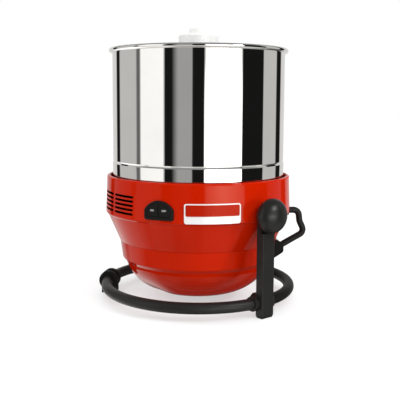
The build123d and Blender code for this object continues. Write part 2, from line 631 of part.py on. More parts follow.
with BuildPart() as motor_end_bells:
    # upper bell under the chassis
    with BuildSketch(XY.offset(104.0)):
        with Locations((0, BELT_C)):
            Circle(MOTOR_R)
    extrude(amount=8.0)
    with BuildSketch(XY.offset(103.0)):
        with Locations((0, BELT_C)):
            Circle(4.3)
        with Locations(*MOTOR_BOLTS):
            Circle(2.1)
    extrude(amount=10.0, mode=Mode.SUBTRACT)
    # lower bell with a bearing boss and cooling holes
    with BuildSketch(XY.offset(61.0)):
        with Locations((0, BELT_C)):
            Circle(33.0)
    extrude(amount=9.0)
    with BuildSketch(XY.offset(57.0)):
        with Locations((0, BELT_C)):
            Circle(11.0)
    extrude(amount=4.5)
    with BuildSketch(XY.offset(56.0)):
        with Locations((0, BELT_C)):
            Circle(4.3)
            with PolarLocations(21.0, 6, 30):
                Circle(4.5)
    extrude(amount=15.0, mode=Mode.SUBTRACT)
motor_end_bells.part.label = "motor_end_bells"
export_step(motor_end_bells.part, "parts/motor_end_bells.step")

with BuildPart() as motor_stator:
    with BuildSketch(XY.offset(70.0)):
        with Locations((0, BELT_C)):
            Circle(MOTOR_R)
            Circle(22.0, mode=Mode.SUBTRACT)
            with PolarLocations(27.0, 12):
                SlotOverall(7.0, 3.0, mode=Mode.SUBTRACT)
    extrude(amount=34.0)
motor_stator.part.label = "motor_stator"
export_step(motor_stator.part, "parts/motor_stator.step")

with BuildPart() as motor_rotor:
    with BuildSketch(XY.offset(44.0)):
        with Locations((0, BELT_C)):
            Circle(4.0)
    extrude(amount=95.0)
    with BuildSketch(XY.offset(72.0)):
        with Locations((0, BELT_C)):
            Circle(21.4)
    extrude(amount=30.0)
motor_rotor.part.label = "motor_rotor"
export_step(motor_rotor.part, "parts/motor_rotor.step")

with BuildPart() as motor_pulley:
    with BuildSketch(XY.offset(124.0)):
        with Locations((0, BELT_C)):
            Circle(7.4)
    extrude(amount=1.5)
    with BuildSketch(XY.offset(125.5)):
        with Locations((0, BELT_C)):
            Circle(MOTOR_PULLEY_R)
    extrude(amount=11.0)
    with BuildSketch(XY.offset(136.5)):
        with Locations((0, BELT_C)):
            Circle(7.4)
    extrude(amount=1.5)
    with BuildSketch(XY.offset(123.0)):
        with Locations((0, BELT_C)):
            Circle(4.02)
    extrude(amount=16.0, mode=Mode.SUBTRACT)
motor_pulley.part.label = "motor_pulley"
export_step(motor_pulley.part, "parts/motor_pulley.step")

with BuildPart() as cooling_fan:
    with BuildSketch(XY.offset(46.0)):
        with Locations((0, BELT_C)):
            Circle(8.0)
    extrude(amount=9.0)
    with BuildSketch(XY.offset(46.0)):
        with Locations((0, BELT_C)):
            Circle(23.5)
    extrude(amount=1.6)
    with BuildSketch(XY.offset(47.0)):
        with Locations((0, BELT_C)):
            with PolarLocations(15.0, 8):
                Rectangle(15.5, 1.6)
    extrude(amount=7.0)
    with BuildSketch(XY.offset(45.0)):
        with Locations((0, BELT_C)):
            Circle(4.02)
    extrude(amount=12.0, mode=Mode.SUBTRACT)
cooling_fan.part.label = "cooling_fan"
export_step(cooling_fan.part, "parts/cooling_fan.step")

with BuildPart() as run_capacitor:
    with BuildSketch(XY.offset(66.0)):
        with Locations((-46.0, -26.0)):
            Circle(14.0)
    extrude(amount=46.0)
    fillet(run_capacitor.edges().filter_by(GeomType.CIRCLE).sort_by(Axis.Z)[0], 1.5)
    with BuildSketch(XY.offset(60.0)):
        with Locations((-49.5, -26.0), (-42.5, -26.0)):
            Rectangle(0.8, 6.3)
    extrude(amount=6.5)
run_capacitor.part.label = "run_capacitor"
export_step(run_capacitor.part, "parts/run_capacitor.step")

# ================================================================ drum
with BuildPart() as drum_shell:
    with BuildSketch(XZ):
        with BuildLine():
            Polyline((12.9, DRUM_Z + SHEET), (12.9, DRUM_Z), (104.6, DRUM_Z))
            ThreePointArc((104.6, DRUM_Z), (104.6 + 10.0 * sin(pi / 4), DRUM_Z + 10.0 - 10.0 * cos(pi / 4)), (114.6, DRUM_Z + 10.0))
            Polyline((114.6, DRUM_Z + 10.0), (114.9, 182.3), (113.5, 184.0), (114.2, 185.7), (DRUM_R, 325.6))
            # rolled rim
            ThreePointArc((DRUM_R, 325.6), (118.0, 328.2), (114.4, DRUM_TOP))
            Line((114.4, DRUM_TOP), (113.2, DRUM_TOP))
            ThreePointArc((113.2, DRUM_TOP), (113.2 - 0.9 * sin(pi / 4), DRUM_TOP - 0.9 + 0.9 * cos(pi / 4)), (112.3, DRUM_TOP - 0.9))
            Polyline((112.3, DRUM_TOP - 0.9), (112.9, 185.9), (112.2, 184.0), (113.6, 182.1), (113.3, DRUM_Z + 10.0))
            ThreePointArc((113.3, DRUM_Z + 10.0), (104.6 + 8.7 * sin(pi / 4), DRUM_Z + 10.0 - 8.7 * cos(pi / 4)), (104.6, DRUM_Z + SHEET))
            Line((104.6, DRUM_Z + SHEET), (12.9, DRUM_Z + SHEET))
        make_face()
    revolve(axis=Axis.Z)
drum_shell.part.label = "drum_shell"
export_step(drum_shell.part, "parts/drum_shell.step")

BED_Z = DRUM_Z + SHEET
with BuildPart() as granite_base:
    with BuildSketch(XZ):
        with BuildLine():
            Line((15.3, BED_Z), (103.0, BED_Z))
            ThreePointArc((103.0, BED_Z), (103.0 + 8.6 * sin(pi / 4), BED_Z + 8.6 - 8.6 * cos(pi / 4)), (GRANITE_R, BED_Z + 8.6))
            Polyline((GRANITE_R, BED_Z + 8.6), (GRANITE_R, GRANITE_TOP - 0.8), (GRANITE_R - 0.8, GRANITE_TOP), (15.3, GRANITE_TOP), (15.3, BED_Z))
        make_face()
    revolve(axis=Axis.Z)
granite_base.part.label = "granite_base"
export_step(granite_base.part, "parts/granite_base.step")

with BuildPart() as center_tube:
    with BuildSketch(XZ):
        Polygon((13.0, BED_Z), (15.0, BED_Z), (15.0, 257.2), (14.2, 258.0), (7.1, 258.0), (7.1, 254.0), (13.0, 254.0))
    revolve(axis=Axis.Z)
center_tube.part.label = "center_tube"
export_step(center_tube.part, "parts/center_tube.step")

with BuildPart() as drum_coupling:
    with BuildSketch(XY.offset(142.0)):
        Circle(31.0)
        Circle(12.0, mode=Mode.SUBTRACT)
        with PolarLocations(25.0, 3):
            Circle(3.3, mode=Mode.SUBTRACT)
    extrude(amount=DRUM_Z - 142.0)
drum_coupling.part.label = "drum_coupling"
export_step(drum_coupling.part, "parts/drum_coupling.step")

# ================================================================ roller assembly
with BuildPart() as roller_holder:
    with BuildSketch(XZ):
        Polygon((16.5, HUB_Z0), (HUB_R - 1.5, HUB_Z0), (HUB_R, HUB_Z0 + 1.5), (HUB_R, 262.0), (20.0, 276.0), (20.0, HUB_Z1 - 1.0), (19.0, HUB_Z1),
                (0, HUB_Z1), (0, 264.0), (16.5, 264.0))
    revolve(axis=Axis.Z)
    # cross bosses for the axles
    with BuildSketch(YZ.offset(-37.0)):
        with Locations((0, AXLE_Z)):
            Circle(13.0)
    extrude(amount=74.0)
    with BuildSketch(XY.offset(HUB_Z0 - 1)):
        Circle(16.5)
    extrude(amount=264.0 - HUB_Z0 + 1, mode=Mode.SUBTRACT)
    with BuildSketch(YZ.offset(-40.0)):
        with Locations((0, AXLE_Z)):
            Circle(AXLE_R + 0.02)
    extrude(amount=80.0, mode=Mode.SUBTRACT)
    # keyed bore on the fixed shaft
    with BuildSketch(XY.offset(262.0)):
        Circle(SHAFT_R + 0.3)
        Rectangle(20.0, 11.8, mode=Mode.INTERSECT)
    extrude(amount=25.0, mode=Mode.SUBTRACT)
roller_holder.part.label = "roller_holder"
export_step(roller_holder.part, "parts/roller_holder.step")

with BuildPart() as roller_axles:
    for off in (18.2, -97.0):
        with BuildSketch(YZ.offset(off)):
            with Locations((0, AXLE_Z)):
                Circle(AXLE_R)
        extrude(amount=78.8)
roller_axles.part.label = "roller_axles"
export_step(roller_axles.part, "parts/roller_axles.step")

with BuildPart() as axle_nuts:
    for s in (1, -1):
        # rounded cap on a hexagon
        with BuildSketch(YZ.offset(96.0 if s > 0 else -102.8)):
            with Locations((0, AXLE_Z)):
                Circle(7.6)
        extrude(amount=6.8)
        fillet(axle_nuts.edges().filter_by(GeomType.CIRCLE).sort_by(Axis.X)[-1 if s > 0 else 0], 3.4)
        with BuildSketch(YZ.offset(91.7 if s > 0 else -97.7)):
            with Locations((0, AXLE_Z)):
                RegularPolygon(9.8, 6)
        extrude(amount=6.0)
        with BuildSketch(YZ.offset(90.0 if s > 0 else -97.3)):
            with Locations((0, AXLE_Z)):
                Circle(AXLE_R + 0.02)
        extrude(amount=7.3, mode=Mode.SUBTRACT)
axle_nuts.part.label = "axle_nuts"
export_step(axle_nuts.part, "parts/axle_nuts.step")

for side, s in (("right", 1), ("left", -1)):
    with BuildPart() as roller_stone:
        with BuildSketch(XZ):
            Polygon((s * STONE_IN, AXLE_Z + 10.02), (s * STONE_IN, AXLE_Z + STONE_R - 2.0), (s * (STONE_IN + 2.0), AXLE_Z + STONE_R),
                    (s * (STONE_OUT - 2.0), AXLE_Z + STONE_R), (s * STONE_OUT, AXLE_Z + STONE_R - 2.0), (s * STONE_OUT, AXLE_Z + 10.02))
        revolve(axis=Axis((0, 0, AXLE_Z + FEET), (1, 0, 0)))
    roller_stone.part.label = f"roller_stone_{side}"
    export_step(roller_stone.part, f"parts/roller_stone_{side}.step")

    with BuildPart() as roller_bush:
        with BuildSketch(XZ):
            Polygon((s * 38.4, AXLE_Z + 6.08), (s * 38.4, AXLE_Z + 14.0), (s * 41.98, AXLE_Z + 15.0), (s * 41.98, AXLE_Z + 10.0),
                    (s * 91.0, AXLE_Z + 10.0), (s * 91.0, AXLE_Z + 6.08))
        revolve(axis=Axis((0, 0, AXLE_Z + FEET), (1, 0, 0)))
    roller_bush.part.label = f"roller_bush_{side}"
    export_step(roller_bush.part, f"parts/roller_bush_{side}.step")

with BuildPart() as tension_spring:
    with BuildLine():
        coil = Helix(pitch=5.5, height=33.0, radius=11.0, center=(0, 0, 283.4 + FEET))
    with BuildSketch(Plane(origin=coil @ 0, z_dir=coil % 0)):
        Circle(1.2)
    sweep(path=coil, is_frenet=True)
tension_spring.part.label = "tension_spring"
export_step(tension_spring.part, "parts/tension_spring.step")

with BuildPart() as spring_cap:
    with BuildSketch(XZ):
        Polygon((7.3, 318.0), (15.0, 318.0), (16.0, 319.0), (16.0, 321.6), (7.3, 321.6))
    revolve(axis=Axis.Z)
spring_cap.part.label = "spring_cap"
export_step(spring_cap.part, "parts/spring_cap.step")

with BuildPart() as tension_knob:
    with BuildSketch(XZ):
        Polygon((6.1, 321.95), (17.0, 321.95), (18.0, 322.95), (18.0, KNOB_Z0), (KNOB_R - 1.5, KNOB_Z0), (KNOB_R, KNOB_Z0 + 1.5), (KNOB_R, KNOB_Z1 - 2.6),
                (KNOB_R - 2.6, KNOB_Z1), (KNOB_BOSS_R, KNOB_Z1), (KNOB_BOSS_R, KNOB_TOP - 1.2), (KNOB_BOSS_R - 1.2, KNOB_TOP), (0, KNOB_TOP),
                (0, 354.0), (6.1, 354.0))
    revolve(axis=Axis.Z)
tension_knob.part.label = "tension_knob"
export_step(tension_knob.part, "parts/tension_knob.step")

# ================================================================ tilt locks
for side, s in (("right", 1), ("left", -1)):
    with BuildPart() as lock_washer:
        with BuildSketch(YZ.offset(WASHER_X if s > 0 else -WASHER_X - 1.5)):
            with Locations((0, PIVOT_Z)):
                Circle(WASHER_R)
                Circle(STUD_R + 0.3, mode=Mode.SUBTRACT)
        extrude(amount=1.5)
    lock_washer.part.label = f"lock_washer_{side}"
    export_step(lock_washer.part, f"parts/lock_washer_{side}.step")

    with BuildPart() as lock_knob:
        with BuildSketch(turned_plane(0.0 if s > 0 else pi)):
            # oblate ball
            with Locations((LOCK_X, PIVOT_Z)):
                Ellipse(LOCK_B, LOCK_A)
            # keep the half above the axis and outside the back face
            with Locations((LOCK_BACK + 15.0, PIVOT_Z + 15.0)):
                Rectangle(30.0, 30.0, mode=Mode.INTERSECT)
        revolve(axis=Axis((0, 0, PIVOT_Z + FEET), (1, 0, 0)))
        # recess for the washer and threaded bore
        with BuildSketch(YZ.offset(LOCK_BACK - 2.0 if s > 0 else -WASHER_X - 1.8)):
            with Locations((0, PIVOT_Z)):
                Circle(WASHER_R + 0.6)
        extrude(amount=WASHER_X + 1.8 - LOCK_BACK + 2.0, mode=Mode.SUBTRACT)
        with BuildSketch(YZ.offset(LOCK_BACK - 2.0 if s > 0 else -153.0)):
            with Locations((0, PIVOT_Z)):
                Circle(STUD_R + 0.06)
        extrude(amount=153.0 - LOCK_BACK + 2.0, mode=Mode.SUBTRACT)
    lock_knob.part.label = f"lock_knob_{side}"
    export_step(lock_knob.part, f"parts/lock_knob_{side}.step")
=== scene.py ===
import math

import bmesh
import bpy
from mathutils import Matrix, Vector


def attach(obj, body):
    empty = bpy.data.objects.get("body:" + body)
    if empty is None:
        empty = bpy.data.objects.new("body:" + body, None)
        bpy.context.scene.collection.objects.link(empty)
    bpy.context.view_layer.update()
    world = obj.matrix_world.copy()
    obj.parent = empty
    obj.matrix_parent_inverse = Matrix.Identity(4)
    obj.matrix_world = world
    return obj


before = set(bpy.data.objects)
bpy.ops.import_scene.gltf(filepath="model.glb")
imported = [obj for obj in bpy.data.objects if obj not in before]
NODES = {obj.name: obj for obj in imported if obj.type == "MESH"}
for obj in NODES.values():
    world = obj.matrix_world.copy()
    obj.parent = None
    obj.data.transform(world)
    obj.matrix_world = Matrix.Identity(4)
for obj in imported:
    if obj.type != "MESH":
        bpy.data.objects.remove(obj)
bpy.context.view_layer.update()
MM = 0.001

# ------------------------------------------------------------------ camera
AZ = math.radians(50.5)
FWD = Vector((math.sin(AZ), -math.cos(AZ), 0.0))     # from the object to the camera
RIGHT = Vector((math.cos(AZ), math.sin(AZ), 0.0))
cam_data = bpy.data.cameras.new("camera")
cam_data.sensor_width = 36.0
cam_data.lens = 63.38
cam_data.clip_start = 0.01
cam_data.clip_end = 60.0
cam = bpy.data.objects.new("camera", cam_data)
bpy.context.scene.collection.objects.link(cam)
cam.matrix_world = (Matrix.Translation(FWD * 0.9507 + RIGHT * 0.00265 + Vector((0, 0, 0.2676)))
                    @ Matrix.Rotation(AZ, 4, "Z")
                    @ Matrix.Rotation(math.radians(81.92), 4, "X")
                    @ Matrix.Rotation(0.005, 4, "Z"))
bpy.context.scene.camera = cam

# ------------------------------------------------------------------ node helpers


class Mat:
    """A material with short calls for the usual procedural nodes, in object space (metres)."""

    def __init__(self, name):
        self.m = bpy.data.materials.new(name)
        self.m.use_nodes = True
        self.nt = self.m.node_tree
        self.bsdf = self.nt.nodes["Principled BSDF"]
        self.co = self.nt.nodes.new("ShaderNodeTexCoord").outputs["Object"]

    def link(self, a, b):
        self.nt.links.new(a, b)
        return b

    def put(self, **values):
        for key, val in values.items():
            sock = self.bsdf.inputs[key.replace("_", " ")]
            if isinstance(val, bpy.types.NodeSocket):
                self.link(val, sock)
            else:
                sock.default_value = val
        return self

    def scaled(self, sx, sy, sz, co=None):
        n = self.nt.nodes.new("ShaderNodeMapping")
        n.inputs["Scale"].default_value = (sx, sy, sz)
        self.link(co or self.co, n.inputs["Vector"])
        return n.outputs["Vector"]

    def noise(self, scale, detail=3.0, rough=0.55, co=None, distortion=0.0):
        n = self.nt.nodes.new("ShaderNodeTexNoise")
        n.inputs["Scale"].default_value = scale
        n.inputs["Detail"].default_value = detail
        n.inputs["Roughness"].default_value = rough
        n.inputs["Distortion"].default_value = distortion
        self.link(co or self.co, n.inputs["Vector"])
        return n.outputs["Fac"]

    def voronoi(self, scale, out="Distance", feature="F1", co=None, randomness=1.0):
        n = self.nt.nodes.new("ShaderNodeTexVoronoi")
        n.feature = feature
        n.inputs["Scale"].default_value = scale
        n.inputs["Randomness"].default_value = randomness
        self.link(co or self.co, n.inputs["Vector"])
        return n.outputs[out]

    def wave(self, scale, axis="Z", distortion=0.0, detail=2.0, kind="BANDS", co=None):
        n = self.nt.nodes.new("ShaderNodeTexWave")
        n.wave_type = kind
        if kind == "BANDS":
            n.bands_direction = axis
        else:
            n.rings_direction = axis
        n.inputs["Scale"].default_value = scale
        n.inputs["Distortion"].default_value = distortion
        n.inputs["Detail"].default_value = detail
        self.link(co or self.co, n.inputs["Vector"])
        return n.outputs["Fac"]

    def radius(self):
        """Distance from the Z axis, in metres."""
        sep = self.nt.nodes.new("ShaderNodeSeparateXYZ")
        self.link(self.co, sep.inputs[0])
        comb = self.nt.nodes.new("ShaderNodeCombineXYZ")
        self.link(sep.outputs["X"], comb.inputs["X"])
        self.link(sep.outputs["Y"], comb.inputs["Y"])
        n = self.nt.nodes.new("ShaderNodeVectorMath")
        n.operation = "LENGTH"
        self.link(comb.outputs[0], n.inputs[0])
        return n.outputs["Value"]

    def axis(self, which):
        sep = self.nt.nodes.new("ShaderNodeSeparateXYZ")
        self.link(self.co, sep.inputs[0])
        return sep.outputs[which]

    def math(self, op, a, b=None):
        n = self.nt.nodes.new("ShaderNodeMath")
        n.operation = op
        for sock, val in zip(n.inputs, (a, b)):
            if isinstance(val, bpy.types.NodeSocket):
                self.link(val, sock)
            elif val is not None:
                sock.default_value = val
        return n.outputs[0]

    def span(self, fac, lo, hi, frm=(0.3, 0.7)):
        n = self.nt.nodes.new("ShaderNodeMapRange")
        n.clamp = True
        self.link(fac, n.inputs["Value"])
        n.inputs["From Min"].default_value, n.inputs["From Max"].default_value = frm
        n.inputs["To Min"].default_value, n.inputs["To Max"].default_value = lo, hi
        return n.outputs["Result"]

    def ramp(self, fac, *stops, interp="LINEAR"):
        n = self.nt.nodes.new("ShaderNodeValToRGB")
        n.color_ramp.interpolation = interp
        el = n.color_ramp.elements
        while len(el) < len(stops):
            el.new(0.5)
        for e, (pos, col) in zip(el, stops):
            e.position = pos
            e.color = (*col, 1.0)
        self.link(fac, n.inputs["Fac"])
        return n.outputs["Color"]

    def mix(self, fac, a, b, blend="MIX"):
        n = self.nt.nodes.new("ShaderNodeMix")
        n.data_type = "RGBA"
        n.blend_type = blend
        for sock, val in ((n.inputs[0], fac), (n.inputs[6], a), (n.inputs[7], b)):
            if isinstance(val, bpy.types.NodeSocket):
                self.link(val, sock)
            elif isinstance(val, (int, float)):
                sock.default_value = val
            else:
                sock.default_value = (*val, 1.0)
        return n.outputs[2]

    def bump(self, height, strength, distance, normal=None):
        n = self.nt.nodes.new("ShaderNodeBump")
        n.inputs["Strength"].default_value = strength
        n.inputs["Distance"].default_value = distance
        self.link(height, n.inputs["Height"])
        if normal is not None:
            self.link(normal, n.inputs["Normal"])
        return n.outputs["Normal"]


def srgb(r, g, b):
    return tuple((c / 255 / 12.92) if c / 255 <= 0.04045 else ((c / 255 + 0.055) / 1.055) ** 2.4 for c in (r, g, b))


# ------------------------------------------------------------------ materials
MATS = {}


def mat_red(name, tone=1.0, gloss=(0.06, 0.11), shaded_slots=False):
    """Glossy red moulded housing; for the slotted band the colour inside the wall is painted near-black, a painted
    shade for the shadowed inside seen through the slots.
    """
    k = Mat(name)
    big = k.noise(9.0, 2.0)
    fine = k.noise(420.0, 4.0, 0.6)
    deep = tuple(c * tone for c in (0.315, 0.0072, 0.0002))
    warm = tuple(c * tone for c in (0.345, 0.0092, 0.0003))
    col = k.ramp(big, (0.32, deep), (0.68, warm))
    col = k.mix(k.span(fine, 0.0, 0.10, (0.45, 0.75)), col, tuple(c * 0.86 for c in deep))
    if shaded_slots:
        lean = k.math("MULTIPLY", k.axis("Z"), 0.0391)          # the band leans in towards its rim
        shade_inside_wall = k.span(k.math("ADD", k.radius(), lean), 1.0, 0.0, (0.12772, 0.12827))
        low = k.span(k.axis("Z"), 0.0, 1.0, (0.1195, 0.1215))
        high = k.span(k.axis("Z"), 1.0, 0.0, (0.1525, 0.1535))
        fac = k.math("MULTIPLY", k.math("MULTIPLY", shade_inside_wall, low), high)
        # painted shade: near-black colour inside the slotted band's wall, standing in for its shadowed inside
        col = k.mix(fac, col, (0.012, 0.004, 0.003))
    smear = k.noise(26.0, 5.0, 0.62, distortion=0.6)
    k.put(Base_Color=col, Roughness=k.span(smear, *gloss), Normal=k.bump(k.noise(260.0, 2.0), 0.035, 0.0002))
    k.put(IOR=1.5, Specular_IOR_Level=0.12, Specular_Tint=(1.0, 0.82, 0.60, 1.0))
    return k.m


MATS["housing_red"] = mat_red("red_gloss_plastic")
RED_UPPER = mat_red("red_gloss_plastic_shaded_slots", shaded_slots=True)
RED_PANEL = mat_red("red_plate_print", 0.80, (0.22, 0.34))


def mat_black(name, lo, hi, rough, grain, strength, dist, spec=0.14):
    k = Mat(name)
    big = k.noise(22.0, 3.0)
    fine = k.noise(grain, 3.0, 0.6)
    col = k.ramp(big, (0.3, lo), (0.7, hi))
    col = k.mix(k.span(fine, 0.0, 0.45, (0.4, 0.75)), col, tuple(c * 1.9 for c in hi))
    k.put(Base_Color=col, Roughness=k.span(k.noise(grain * 0.35, 3.0), *rough),
          Normal=k.bump(fine, strength, dist))
    k.put(Specular_IOR_Level=spec)
    return k.m


MATS["stand_black"] = mat_black("black_powder_coat", (0.0052, 0.0051, 0.0046), (0.0078, 0.0076, 0.0069), (0.36, 0.48), 900.0, 0.28, 0.0003, 0.24)
# a darker, less shiny copy of the stand's powder coat for the ring's rear tube and the handle bracket; its darker
# colour is painted shade
SHADED_MATT_BLACK = mat_black("black_powder_coat_matt_shaded", (0.0036, 0.0035, 0.0031), (0.0054, 0.0052, 0.0047), (0.36, 0.48), 900.0, 0.28, 0.0003, 0.045)
MATS["handle_black"] = mat_black("black_dip_coat", (0.0032, 0.0031, 0.0028), (0.0046, 0.0045, 0.0041), (0.36, 0.50), 650.0, 0.20, 0.0003, 0.18)
MATS["knob_black"] = mat_black("black_moulded_plastic", (0.0034, 0.0033, 0.0030), (0.0050, 0.0049, 0.0045), (0.33, 0.40), 1100.0, 0.20, 0.00022, 0.31)
MATS["rubber_black"] = mat_black("black_rubber", (0.0034, 0.0034, 0.0032), (0.0055, 0.0055, 0.0052), (0.55, 0.72), 520.0, 0.30, 0.0003, 0.12)
MATS["switch_black"] = mat_black("satin_switch_plastic", (0.0042, 0.0040, 0.0037), (0.0060, 0.0058, 0.0054), (0.36, 0.48), 1500.0, 0.18, 0.0002, 0.10)
MATS["inner_plastic"] = mat_black("dark_abs_plastic", (0.020, 0.021, 0.023), (0.030, 0.031, 0.034), (0.40, 0.58), 700.0, 0.25, 0.0003)


def mat_polished(name):
    k = Mat(name)
    lines = k.noise(1.0, 2.0, 0.5, co=k.scaled(5.0, 5.0, 1500.0))
    cloud = k.noise(16.0, 4.0, 0.6)
    col = k.ramp(cloud, (0.30, (0.760, 0.750, 0.735)), (0.70, (0.815, 0.808, 0.795)))
    rough = k.math("ADD", k.span(lines, 0.0, 0.012), k.span(cloud, 0.012, 0.024))
    k.put(Base_Color=col, Metallic=1.0, Roughness=rough, Normal=k.bump(lines, 0.003, 0.00004))
    return k.m


MATS["drum_steel"] = mat_polished("mirror_polished_steel")


def mat_machined(name, lo, hi, rough, freq=2200.0):
    k = Mat(name)
    lines = k.noise(1.0, 2.0, 0.5, co=k.scaled(40.0, 40.0, freq))
    cloud = k.noise(60.0, 4.0, 0.6)
    k.put(Base_Color=k.ramp(cloud, (0.3, lo), (0.7, hi)), Metallic=1.0,
          Roughness=k.math("ADD", k.span(lines, 0.0, 0.12), k.span(cloud, *rough)),
          Normal=k.bump(lines, 0.10, 0.0001))
    return k.m


MATS["machined_steel"] = mat_machined("turned_steel", (0.50, 0.50, 0.50), (0.62, 0.615, 0.605), (0.16, 0.26))
MATS["zinc_screws"] = mat_machined("zinc_plated_steel", (0.52, 0.54, 0.57), (0.66, 0.65, 0.60), (0.22, 0.34), 900.0)


def mat_galvanised(name):
    k = Mat(name)
    cell = k.voronoi(140.0, "Color")
    tone = k.ramp(k.noise(1.0, 0.0, co=k.mix(0.0, cell, (0, 0, 0))), (0.3, (0.36, 0.37, 0.39)), (0.7, (0.56, 0.57, 0.585)))
    k.put(Base_Color=tone, Metallic=1.0, Roughness=k.span(k.noise(80.0, 3.0), 0.28, 0.48),
          Normal=k.bump(k.noise(500.0, 2.0), 0.06, 0.0002))
    return k.m


MATS["chassis_steel"] = mat_galvanised("galvanised_sheet")


def mat_cast(name):
    k = Mat(name)
    skin = k.noise(650.0, 4.0, 0.65)
    k.put(Base_Color=k.ramp(k.noise(45.0, 4.0), (0.3, (0.43, 0.43, 0.44)), (0.7, (0.58, 0.58, 0.575))), Metallic=1.0,
          Roughness=k.span(skin, 0.36, 0.58), Normal=k.bump(skin, 0.35, 0.0004))
    return k.m


MATS["cast_aluminium"] = mat_cast("cast_aluminium_skin")


def mat_stator(name):
    k = Mat(name)
    sheets = k.wave(320.0, "Z")
    k.put(Base_Color=k.ramp(sheets, (0.25, (0.16, 0.165, 0.18)), (0.75, (0.34, 0.345, 0.36))), Metallic=1.0,
          Roughness=k.span(k.noise(300.0), 0.35, 0.55), Normal=k.bump(sheets, 0.5, 0.0002))
    return k.m


MATS["stator_steel"] = mat_stator("laminated_stator_steel")


def mat_white(name, lo, hi, rough, grain=700.0, strength=0.06, painted_glow=0.0):
    k = Mat(name)
    big = k.noise(30.0, 3.0)
    fine = k.noise(grain, 3.0)
    k.put(Base_Color=k.ramp(big, (0.3, lo), (0.7, hi)), Roughness=k.span(k.noise(55.0, 4.0), *rough),
          Normal=k.bump(fine, strength, 0.0002))
    k.put(Emission_Color=(1.0, 1.0, 0.98, 1.0), Emission_Strength=painted_glow)   # painted light: the plastic gives off light of its own, which evens out its shading
    return k.m


# painted light: the tension knob's plastic glows at 0.33 on a dimmer base, so it reads near-white on every side
MATS["white_plastic"] = mat_white("white_food_grade_plastic", (0.345, 0.345, 0.341), (0.37, 0.37, 0.366), (0.30, 0.42), 700.0, 0.03, 0.33)
WHITE_INNER = mat_white("white_moulded_plastic", (0.50, 0.50, 0.49), (0.56, 0.56, 0.55), (0.32, 0.45), 700.0, 0.05)
MATS["badge_white"] = mat_white("white_plate_plastic", (0.50, 0.498, 0.495), (0.54, 0.538, 0.535), (0.18, 0.28), 900.0, 0.03)


def mat_granite(name):
    k = Mat(name)
    cells = k.voronoi(420.0, "Color")
    sepn = k.nt.nodes.new("ShaderNodeSeparateColor")
    k.link(cells, sepn.inputs[0])
    speck = k.ramp(sepn.outputs[0], (0.0, (0.020, 0.020, 0.022)), (0.24, (0.085, 0.085, 0.088)), (0.55, (0.20, 0.198, 0.195)),
                   (0.83, (0.36, 0.355, 0.345)), (0.95, (0.56, 0.55, 0.53)))
    mica = k.voronoi(1100.0, "Distance")
    col = k.mix(k.span(mica, 0.65, 0.0, (0.05, 0.30)), speck, (0.028, 0.028, 0.030))
    col = k.mix(k.span(k.noise(24.0, 3.0), 0.0, 0.4), col, (0.25, 0.245, 0.24))
    k.put(Base_Color=col, Roughness=k.span(sepn.outputs[1], 0.32, 0.62, (0.0, 1.0)),
          Normal=k.bump(k.noise(700.0, 4.0, 0.65), 0.25, 0.0003))
    return k.m


MATS["granite"] = mat_granite("speckled_granite")

for name, obj in NODES.items():
    slot = obj.data.materials[0].name.split(".")[0]
    obj.material_slots[0].material = {"upper_housing": RED_UPPER, "badge_panel": RED_PANEL,
                                      "ring_tube_rear": SHADED_MATT_BLACK, "handle_bracket": SHADED_MATT_BLACK,
                                      "roller_holder": WHITE_INNER, "roller_bush_left": WHITE_INNER,
                                      "roller_bush_right": WHITE_INNER}.get(name, MATS[slot])

# ------------------------------------------------------------------ lettering on the two buttons
SW = math.radians(28.35)
SW_OUT = Vector((math.sin(SW), -math.cos(SW), 0.0))
SW_SIDE = Vector((math.cos(SW), math.sin(SW), 0.0))


def lettering(name, word, side, body):
    """Thin raised letters on a button's face."""
    curve = bpy.data.curves.new(name + "_curve", "FONT")
    curve.body = word
    curve.align_x, curve.align_y = "CENTER", "CENTER"
    curve.size = 3.3 * MM
    curve.extrude = 0.12 * MM
    curve.offset = -0.01 * MM
    temp = bpy.data.objects.new(name + "_temp", curve)
    bpy.context.scene.collection.objects.link(temp)
    deps = bpy.context.evaluated_depsgraph_get()
    mesh = bpy.data.meshes.new_from_object(temp.evaluated_get(deps))
    bpy.data.objects.remove(temp)
    turn = Matrix((SW_SIDE, Vector((0, 0, 1)), SW_OUT)).transposed().to_4x4()
    mesh.transform(Matrix.Translation(SW_OUT * LETTER_N * MM + SW_SIDE * side * MM + Vector((0, 0, 135.9 * MM))) @ turn)
    mesh.materials.clear()
    mesh.materials.append(LETTER_GREY)
    obj = bpy.data.objects.new(name, mesh)
    bpy.context.scene.collection.objects.link(obj)
    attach(obj, body)


LETTER_N = 126.72
LETTER_GREY = mat_white("pad_printed_grey", (0.46, 0.46, 0.455), (0.54, 0.54, 0.53), (0.35, 0.50), 1500.0, 0.05)
lettering("on_letters", "ON", -7.8, "on_key")
lettering("off_letters", "OFF", 7.8, "off_key")

# ------------------------------------------------------------------ stage: floor, lights, world
floor_mat = Mat("pale_floor")
floor_mat.put(Base_Color=floor_mat.ramp(floor_mat.noise(3.0, 2.0), (0.3, (0.335, 0.335, 0.335)), (0.7, (0.35, 0.35, 0.35))), Roughness=0.9,
              Specular_IOR_Level=0.0, Emission_Color=(1.0, 1.0, 1.0, 1.0), Emission_Strength=0.53)
fm = bpy.data.meshes.new("floor")
fb = bmesh.new()
bmesh.ops.create_circle(fb, cap_ends=True, segments=96, radius=9.0)
fb.to_mesh(fm)
fb.free()
floor = bpy.data.objects.new("floor", fm)
floor.location = (0, 0, -0.0002)
fm.materials.append(floor_mat.m)
bpy.context.scene.collection.objects.link(floor)
floor.visible_glossy = False


def bearing(deg, elevation):
    """Direction from the object, by bearing from the camera (degrees, + to the right) and elevation."""
    b, e = math.radians(deg), math.radians(elevation)
    return (FWD * math.cos(b) + RIGHT * math.sin(b)) * math.cos(e) + Vector((0, 0, math.sin(e)))


